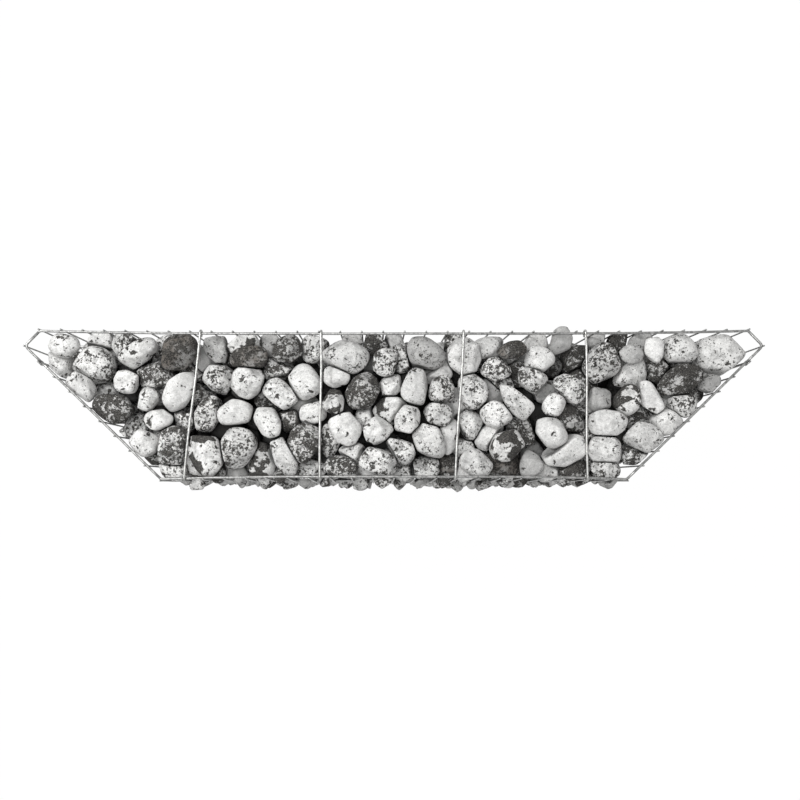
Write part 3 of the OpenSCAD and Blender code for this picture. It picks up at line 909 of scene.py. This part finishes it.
# how the stones are pushed apart and come to rest
settling = {
    "steps": 160,
    "pairSteps": 10,                        # steps between two searches for close stones
    "pairReach": 0.115,
    "tightness": 0.91,
    "mostPush": 0.02,
    "pushShare": 0.45,
    "bulge": (0.022, -0.002, 0.0, 0.004, 0.0, -0.002),   # past the level wires, by side
    "touchReach": 0.13,                     # no two stones that touch have middles further apart
    "fewestContacts": 3,                    # a loose stone with fewer is stray
    "groundGap": 0.002,
    "lowerBy": 0.005,                       # a stone that holds another lies this much lower
    "steepness": 0.3,                       # and holds it from below, not from the side
    "lowerStep": 0.0015,
    "propOverlap": 0.92,
}


def closePairs(places, limit):
    rows = 400  # at a time, to spare memory
    first = []
    second = []
    for k in range(0, len(places), rows):
        gap = np.linalg.norm(places[k:k + rows, None, :] - places[None, :, :], axis=2)
        a, b = np.nonzero(gap < limit)
        keep = a + k < b
        first.append(a[keep] + k)
        second.append(b[keep])
    return np.concatenate(first), np.concatenate(second)


def apart(gap):
    distance = np.maximum(np.linalg.norm(gap, axis=1), 1e-6)  # never nought
    return distance, gap / distance[:, None]


def keepInside(places, shapes, free):
    for side in range(sideCount):
        out = np.append(outward[side], 0.0)
        reached = places @ out + reach(shapes, np.broadcast_to(out, places.shape))
        over = np.clip(reached - sideOffsets[side] - settling["bulge"][side], 0, None) * free
        places = places - out * over[:, None]
    return places


def settle(places, shapes):
    onGround = slice(fixedCount, fixedCount + stoneFill["groundCount"])
    ceiling = wall["rimHeight"] - stoneFill["top"]
    tall = np.linalg.norm(shapes[:, :, 2], axis=1)
    free = np.ones(len(places))
    free[:fixedCount] = 0
    for step in range(settling["steps"]):
        if step % settling["pairSteps"] == 0:
            a, b = closePairs(places, settling["pairReach"])
        distance, direction = apart(places[b] - places[a])
        room = (reach(shapes[a], direction) + reach(shapes[b], direction)) * settling["tightness"]
        push = direction * np.clip(room - distance, 0, settling["mostPush"])[:, None]
        share = free[a] + free[b]
        share[share == 0] = 1
        move = np.zeros_like(places)
        np.add.at(move, a, -push * (free[a] / share)[:, None])
        np.add.at(move, b, push * (free[b] / share)[:, None])
        places = keepInside(places + move * settling["pushShare"], shapes, free)
        lower = np.clip(places[:, 2] + tall - ceiling, 0, None) * free
        raised = np.clip(tall - places[:, 2], 0, None) * free
        places[:, 2] += raised - lower
        places[onGround, 2] = tall[onGround]
    return places


def isHeld(k, places, shapes):
    if places[k][2] - np.linalg.norm(shapes[k][:, 2]) < settling["groundGap"]:
        return True
    gap = places - places[k]
    isNear = np.sum(gap * gap, axis=1) < settling["touchReach"] ** 2
    under = np.nonzero(isNear & (gap[:, 2] < -settling["lowerBy"]))[0]
    distance, direction = apart(gap[under])
    room = np.linalg.norm(direction @ shapes[k].T, axis=1) + reach(shapes[under], direction)
    return bool(np.any((room > distance) & (direction[:, 2] < -settling["steepness"])))


def strayStones(places, shapes):
    # loose stones that few others touch
    a, b = closePairs(places, settling["touchReach"])
    distance, direction = apart(places[b] - places[a])
    touching = reach(shapes[a], direction) + reach(shapes[b], direction) > distance
    contacts = np.bincount(np.concatenate([a[touching], b[touching]]), minlength=len(places))
    fewest = settling["fewestContacts"]
    return [k for k in range(fixedCount, len(places)) if contacts[k] < fewest]


def propUp(k, places, shapes, stray):
    # stray stones are put under a stone that nothing holds
    while stray and not isHeld(k, places, shapes):
        under = stray.pop()
        tall = np.linalg.norm(shapes[under][:, 2])
        drop = settling["propOverlap"] * (np.linalg.norm(shapes[k][:, 2]) + tall)
        place = keepInside((places[k] - drop * upward)[None], shapes[under][None], 1.0)[0]
        places[under] = (place[0], place[1], max(place[2], tall))
        k = under


def lowerUntilHeld(places, shapes, stray):
    # from the lowest up, each stone comes down to the first one under it, and a seen one
    # only a little, along its own line to the camera
    moved = 0
    for k in np.argsort(places[:, 2]):
        if seenCount <= k < fixedCount or k in stray:  # the front ones are wedged between the uprights
            continue
        isSeen = k < seenCount
        start = places[k].copy()
        lowest = start[2] - (seenFit["mostLowered"] if isSeen else wall["rimHeight"])
        while places[k][2] > lowest and not isHeld(k, places, shapes):
            places[k][2] -= settling["lowerStep"]
            if isSeen:
                share = (cameraPlace[2] - places[k][2]) / (cameraPlace[2] - start[2])
                places[k][:2] = cameraPlace[:2] + (start[:2] - cameraPlace[:2]) * share
        moved += int(places[k][2] < start[2])
        propUp(k, places, shapes, stray)
    return moved


# each stone is a ball cut by flats: its own, and one for each thing that it touches
stoneShape = {
    "fineness": {"top": 10, "front": 8, "shell": 5, "core": 2},
    "shellDepth": 0.068,                    # loose stones nearer a side or the top are finer
    "shellTop": 0.13,
    "sideFlats": (3, 6),                    # how many, below the second number
    "shoulderFlats": (2, 5),
    "underFlats": 2,
    "topLift": (1.25, 1.57),                # radians above level
    "sideLift": (-0.35, 0.35),
    "shoulderLift": (0.5, 1.1),
    "underLift": (-1.1, -0.5),
    "flatRoom": (0.74, 1.0),                # of the ellipsoid's reach
    "sharpness": (14, 20, 28, 40, 60),      # of the edges between flats
    "roundBlock": (2.1, 3.4),               # 2 is an ellipsoid, more is blockier
    "pointedBlock": (4.0, 7.0),
    "lumpTurns": (2.2, 2.2, 2.6, 3.2, 4.0, 6.0, 8.0),
    "lumpHeights": (0.24, 0.24, 0.2, 0.14, 0.1, 0.05, 0.03),
    "lumpSize": 0.045,
    "joint": 0.0005,
    "leastRoom": 0.004,
    "leastShare": 0.25,                     # of its reach that a stone keeps at a contact
    "upperKeep": 0.3,                       # what the higher of two stones keeps above half
    "upperDrop": 0.015,
    "wireReach": 1.1,
    "panelReach": (0.060, 0.004, 0.022, 0.012, 0.022, 0.004),   # the furthest out, by side
    "toneSpread": (0.06, 0.045, 0.02, 0.07),
    "spotRange": 8.0,                       # moves the pattern from stone to stone
    "paintedShadeReach": 0.0018,                    # painted shade fades out this far from a contact
    # painted shade on loose stones deep in the heap: from this depth, over this distance, down to this
    # share
    "deepFrom": 0.045,
    "deepOver": 0.03,
    "deepShade": 0.05,
}


def icoSphere(fineness):
    golden = (1 + math.sqrt(5)) / 2
    points = [(-1, golden, 0), (1, golden, 0), (-1, -golden, 0), (1, -golden, 0)]
    points += [(0, -1, golden), (0, 1, golden), (0, -1, -golden), (0, 1, -golden)]
    points += [(golden, 0, -1), (golden, 0, 1), (-golden, 0, -1), (-golden, 0, 1)]
    points = np.array(points)
    count = len(points)
    edge = 2.0
    near = np.linalg.norm(points[:, None] - points[None], axis=2) < edge * 1.1
    faces = [
        (a, b, c)
        for a in range(count) for b in range(a + 1, count) for c in range(b + 1, count)
        if near[a, b] and near[b, c] and near[a, c]
    ]
    made = {}
    places = []
    triangles = []

    def corner(a, b, c, i, j):
        place = (points[a] * (fineness - i - j) + points[b] * i + points[c] * j) / fineness
        place = place / np.linalg.norm(place)
        key = tuple(np.round(place, 5))
        if key not in made:
            made[key] = len(places)
            places.append(place)
        return made[key]

    for a, b, c in faces:
        if np.dot(np.cross(points[b] - points[a], points[c] - points[a]), points[a]) < 0:
            b, c = c, b
        for i in range(fineness):
            for j in range(fineness - i):
                low = corner(a, b, c, i, j)
                right = corner(a, b, c, i + 1, j)
                left = corner(a, b, c, i, j + 1)
                triangles.append((low, right, left))
                if i + j < fineness - 1:
                    triangles.append((right, corner(a, b, c, i + 1, j + 1), left))
    return np.array(places), np.array(triangles)


def wireSegments():
    starts = []
    ends = []
    radii = []
    backStep = backLength / backGaps
    spots = [sidePoint(frontSide, gap * wall["pitch"], uprightOut) for gap in range(wall["frontGaps"] + 1)]
    spots += [sidePoint(backSide, gap * backStep, uprightOut) for gap in range(backGaps + 1)]
    for side in (rightSide, leftSide):
        spots += [sidePoint(side, gap * wall["pitch"], uprightOut) for gap in range(wall["mitreGaps"] + 1)]
    for spot in spots:
        starts.append((spot[0], spot[1], 0.0))
        ends.append((spot[0], spot[1], wall["rimHeight"] + wireShape["spikeLength"]))
        radii.append(wireShape["uprightRadius"])
    for height in rowHeights:
        for here, after in zip(corners, np.roll(corners, -1, axis=0)):
            starts.append((here[0], here[1], height))
            ends.append((after[0], after[1], height))
            radii.append(wireShape["levelRadius"])
    for row in crossTies["rows"].values():
        for front, back in zip(tieFronts, tieBacks):
            starts.append((front[0], front[1], rowHeights[row] + hookRadius))
            ends.append((back[0], back[1], rowHeights[row] + hookRadius))
            radii.append(wireShape["tieRadius"] + crossTies["bow"])
    return np.array(starts), np.array(ends), np.array(radii)


def flatsAgainstNeighbours(k, places, shapes, others):
    others = np.array(others, int)
    distance, direction = apart(places[others] - places[k])
    mine = np.linalg.norm(direction @ shapes[k].T, axis=1)
    theirs = reach(shapes[others], direction)
    over = mine + theirs - distance
    touching = over > 0
    # the higher stone keeps more of its shape
    above = np.tanh((places[k][2] - places[others][:, 2]) / stoneShape["upperDrop"])
    keep = 0.5 + stoneShape["upperKeep"] * above
    room = np.minimum(mine - over * (1 - keep), distance - stoneShape["leastShare"] * theirs)
    room = np.maximum(room, stoneShape["leastShare"] * mine) - stoneShape["joint"]
    return direction[touching], np.maximum(room[touching], stoneShape["leastRoom"])


def flatsAgainstWires(place, starts, ends, radii, limit):
    run = ends - starts
    share = np.clip(np.sum((place - starts) * run, axis=1) / np.sum(run * run, axis=1), 0, 1)
    gap = starts + run * share[:, None] - place
    distance = np.linalg.norm(gap, axis=1)
    near = distance < limit + radii
    room = distance[near] - radii[near] - stoneShape["joint"]
    return gap[near] / distance[near][:, None], np.maximum(room, stoneShape["leastRoom"])


def flatsAgainstPanels(place, past):
    # the ground and the mesh sides hold the stones in
    normals = np.vstack([np.column_stack([outward, np.zeros(sideCount)]), -upward])
    rooms = np.append(sideOffsets + stoneShape["panelReach"] + past - outward @ place[:2], place[2])
    return normals, np.maximum(rooms, stoneShape["leastRoom"])


def ownFlats(shape):
    # one flat near the top, some round the sides, some over the shoulders and two below
    sides = stoneRandom.integers(*stoneShape["sideFlats"])
    shoulders = stoneRandom.integers(*stoneShape["shoulderFlats"])
    lift = np.concatenate([
        [stoneRandom.uniform(*stoneShape["topLift"])],
        stoneRandom.uniform(*stoneShape["sideLift"], sides),
        stoneRandom.uniform(*stoneShape["shoulderLift"], shoulders),
        stoneRandom.uniform(*stoneShape["underLift"], stoneShape["underFlats"]),
    ])
    turn = stoneRandom.uniform(0, 2 * math.pi, len(lift))
    normals = np.stack([np.cos(lift) * np.cos(turn), np.cos(lift) * np.sin(turn), np.sin(lift)], axis=1)
    share = stoneRandom.uniform(*stoneShape["flatRoom"], len(lift))
    return normals, np.linalg.norm(normals @ shape.T, axis=1) * share


def stoneRadius(ball, normals, rooms, half, turn, pointed):
    sharpness = stoneRandom.choice(stoneShape["sharpness"])
    block = stoneRandom.uniform(*stoneShape["pointedBlock" if pointed else "roundBlock"])
    flats = np.clip(ball @ normals.T, 0, None) / rooms
    own = np.sum(np.abs((ball @ turn) / half) ** block, axis=1) ** (1 / block)
    radius = (np.sum(flats ** sharpness, axis=1) + own ** sharpness) ** (-1 / sharpness)
    lumpCount = len(stoneShape["lumpTurns"])
    waves = stoneRandom.normal(0, 1, (lumpCount, 3)) * np.array(stoneShape["lumpTurns"])[:, None]
    phases = stoneRandom.uniform(0, 2 * math.pi, lumpCount)
    lumps = np.sin(ball @ waves.T + phases) @ np.array(stoneShape["lumpHeights"])
    return radius * (1 - stoneShape["lumpSize"] * (1 + lumps))


def stoneFineness(k, place, depth):
    if k < seenCount:
        return "top"
    if k < fixedCount:
        return "front"
    if depth < stoneShape["shellDepth"] or place[2] > wall["rimHeight"] - stoneShape["shellTop"]:
        return "shell"
    return "core"


def stoneShade(slack, depth, isLoose):
    # painted shade at contacts, and on loose stones also deep in the heap
    clear = np.clip(slack / stoneShape["paintedShadeReach"], 0, 1)
    shade = clear * clear * (3 - 2 * clear)
    if isLoose:
        deep = np.clip((depth - stoneShape["deepFrom"]) / stoneShape["deepOver"], 0, 1)
        shade = shade * (1 - deep * (1 - stoneShape["deepShade"]))
    return shade


def bayOf(place):
    # a stone's bay is the count of ties on its left
    bay = 0
    for front, back in zip(tieFronts, tieBacks):
        share = (place[1] - front[1]) / (back[1] - front[1])
        bay += int(place[0] > front[0] + (back[0] - front[0]) * share)
    return bay


def addStone(bay, k, heap, others, wires, balls):
    place = heap["places"][k]
    half = heap["halves"][k]
    depth = np.min(sideOffsets - outward @ place[:2])
    ball, triangles = balls[stoneFineness(k, place, depth)]
    isThrough = k < seenCount and seenStones[k][-1] == seenFit["throughLayer"]
    flats = [
        flatsAgainstNeighbours(k, heap["places"], heap["shapes"], others),
        flatsAgainstWires(place, *wires, half.max() * stoneShape["wireReach"]),
        ownFlats(heap["shapes"][k]),
        flatsAgainstPanels(place, seenFit["throughReach"] if isThrough else 0.0),
    ]
    normals = np.vstack([flat[0] for flat in flats])
    rooms = np.concatenate([flat[1] for flat in flats])
    pointed = seenCount <= k < fixedCount
    offset = ball * stoneRadius(ball, normals, rooms, half, heap["turns"][k], pointed)[:, None]
    bay["points"].append(place + offset)
    bay["faces"].append(triangles + bay["count"])
    bay["count"] += len(ball)
    bay["spots"].append(offset + stoneRandom.uniform(-stoneShape["spotRange"], stoneShape["spotRange"], 3))
    spread = stoneRandom.normal(0, 1, 4) * stoneShape["toneSpread"]
    tone = np.clip(np.array(stoneKinds[heap["kinds"][k]]) + spread, 0, 2)
    bay["tones"].append(np.broadcast_to(tone, (len(ball), 4)))
    # how near each point lies to a contact, for the painted shade
    touchNormals, touchRooms = flats[0]
    slack = np.min(touchRooms - offset @ touchNormals.T, axis=1, initial=stoneShape["paintedShadeReach"])
    bay["shades"].append(stoneShade(slack, depth, k >= fixedCount))


def settledHeap():
    groups = [seenStoneShapes(), frontStoneShapes(), looseStoneShapes()]
    places, halves, turns = (np.concatenate([group[k] for group in groups]) for k in range(3))
    kinds = [kind for group in groups for kind in group[3]]
    shapes = halves[:, :, None] * np.swapaxes(turns, 1, 2)
    places = settle(places, shapes)
    stray = strayStones(places, shapes)
    print("stones settled:", len(places), "with stray ones:", len(stray))
    places[stray] = (0, 0, -5)  # out of the way, unless one is put under another stone
    moved = lowerUntilHeld(places, shapes, stray)
    print("lowered onto the ones below:", moved, "and stray ones left out:", len(stray))
    unheld = sum(not isHeld(k, places, shapes) for k in range(seenCount))
    print("seen stones that nothing holds:", unheld)
    heap = {"places": places, "halves": halves, "turns": turns, "shapes": shapes, "kinds": kinds}
    return heap, stray


def stonePiece(name, bay, node):
    points = bowed(np.vstack(bay["points"]))
    faces = np.vstack(bay["faces"])
    mesh = bpy.data.meshes.new(name)
    mesh.vertices.add(len(points))
    mesh.vertices.foreach_set("co", points.astype(np.float32).ravel())
    mesh.loops.add(faces.size)
    mesh.loops.foreach_set("vertex_index", faces.astype(np.int32).ravel())
    mesh.polygons.add(len(faces))
    mesh.polygons.foreach_set("loop_start", np.arange(0, faces.size, 3, dtype=np.int32))
    mesh.polygons.foreach_set("use_smooth", np.ones(len(faces), dtype=bool))
    mesh.update()
    mesh.validate()
    spot = mesh.attributes.new("stoneSpot", "FLOAT_VECTOR", "POINT")
    spot.data.foreach_set("vector", np.vstack(bay["spots"]).astype(np.float32).ravel())
    tone = mesh.attributes.new("stoneTone", "FLOAT_COLOR", "POINT")
    tone.data.foreach_set("color", np.vstack(bay["tones"]).astype(np.float32).ravel())
    # the painted shade at contacts and deep in the heap
    shade = mesh.attributes.new("stoneShade", "FLOAT", "POINT")
    shade.data.foreach_set("value", np.concatenate(bay["shades"]).astype(np.float32))
    placePiece(name, mesh, pebbleStone, "pebbles", node)
    print(name, len(faces), "triangles")


def makeStones():
    heap, stray = settledHeap()
    wires = wireSegments()
    neighbours = [[] for _ in heap["places"]]
    for a, b in zip(*closePairs(heap["places"], settling["touchReach"])):
        neighbours[a].append(b)
        neighbours[b].append(a)
    balls = {name: icoSphere(size) for name, size in stoneShape["fineness"].items()}
    lists = ("points", "faces", "spots", "tones", "shades")
    bays = [{"count": 0, **{name: [] for name in lists}} for _ in range(len(tieFronts) + 1)]
    for k, place in enumerate(heap["places"]):
        if k not in stray:
            addStone(bays[bayOf(place)], k, heap, neighbours[k], wires, balls)
    for k, bay in enumerate(bays):
        stonePiece(f"stonesBay{k + 1}", bay, f"stone_bay_{k + 1}")


makeStones()

# floor, lamps and sky
studio = {
    "floorColour": (0.35, 0.35, 0.35, 1),
    "floorRoughness": 0.9,
    "floorReach": 30.0,
    "floorDrop": 0.0005,
    "floorGlow": 0.94,                      # share of glow where the background is seen
    "glowStrength": 1.05,
    "skyBand": (0.0, 0.9, 0.40, 0.62),      # two heights and the strengths there
    "lamps": {
        "keyLamp": {"power": 60.0, "size": 0.9, "place": (-2.5, 1.2, 3.2)},
        "topLamp": {"power": 39.0, "size": 1.6, "place": (-0.75, 0.1, 3.7)},
    },
}


def seesBackground(tree):
    # the camera and the wires' reflections see the white background
    ray = addNode(tree, "ShaderNodeLightPath").outputs
    straight = mathNode(tree, "MAXIMUM", ray["Is Camera Ray"], ray["Is Transmission Ray"])
    return mathNode(tree, "MAXIMUM", straight, ray["Is Glossy Ray"])


def makeFloor():
    far = studio["floorReach"]
    mesh = bpy.data.meshes.new("studioFloor")
    mesh.from_pydata([(-far, -far, 0), (far, -far, 0), (far, far, 0), (-far, far, 0)], [], [(0, 1, 2, 3)])
    floor = bpy.data.objects.new("studioFloor", mesh)
    floor.location.z = -studio["floorDrop"]
    bpy.context.scene.collection.objects.link(floor)
    material, tree, shader = newMaterial("studioFloor")
    shader.inputs["Base Color"].default_value = studio["floorColour"]
    shader.inputs["Roughness"].default_value = studio["floorRoughness"]
    glowInputs = {"Color": (1, 1, 1, 1), "Strength": studio["glowStrength"]}
    glow = addNode(tree, "ShaderNodeEmission", None, glowInputs).outputs[0]
    share = times(tree, seesBackground(tree), studio["floorGlow"])
    mix = addNode(tree, "ShaderNodeMixShader", None, {0: share, 1: shader.outputs[0], 2: glow})
    tree.links.new(mix.outputs[0], tree.nodes["Material Output"].inputs["Surface"])
    mesh.materials.append(material)


def makeSky():
    world = bpy.data.worlds.new("studioSky")
    bpy.context.scene.world = world
    world.use_nodes = True
    tree = world.node_tree
    direction = addNode(tree, "ShaderNodeTexCoord").outputs["Generated"]
    height = addNode(tree, "ShaderNodeSeparateXYZ", None, {0: direction}).outputs[2]
    strength = mathNode(tree, "MAXIMUM", seesBackground(tree), band(tree, height, studio["skyBand"]))
    sky = tree.nodes["Background"]
    sky.inputs["Color"].default_value = (1, 1, 1, 1)
    tree.links.new(strength, sky.inputs["Strength"])
    bpy.context.scene.view_settings.view_transform = "Standard"


def makeLamp(name, settings):
    data = bpy.data.lights.new(name, "AREA")
    data.energy = settings["power"]
    data.size = settings["size"]
    lamp = bpy.data.objects.new(name, data)
    lamp.location = settings["place"]
    aim = wall["rimHeight"] * upward - np.array(settings["place"])
    tilt = math.acos(-aim[2] / np.linalg.norm(aim))
    lamp.rotation_euler = (tilt, 0, math.atan2(aim[1], aim[0]) - math.pi / 2)
    bpy.context.scene.collection.objects.link(lamp)


makeFloor()
makeSky()
for lampName, lampSettings in studio["lamps"].items():
    makeLamp(lampName, lampSettings)
print("studio set")
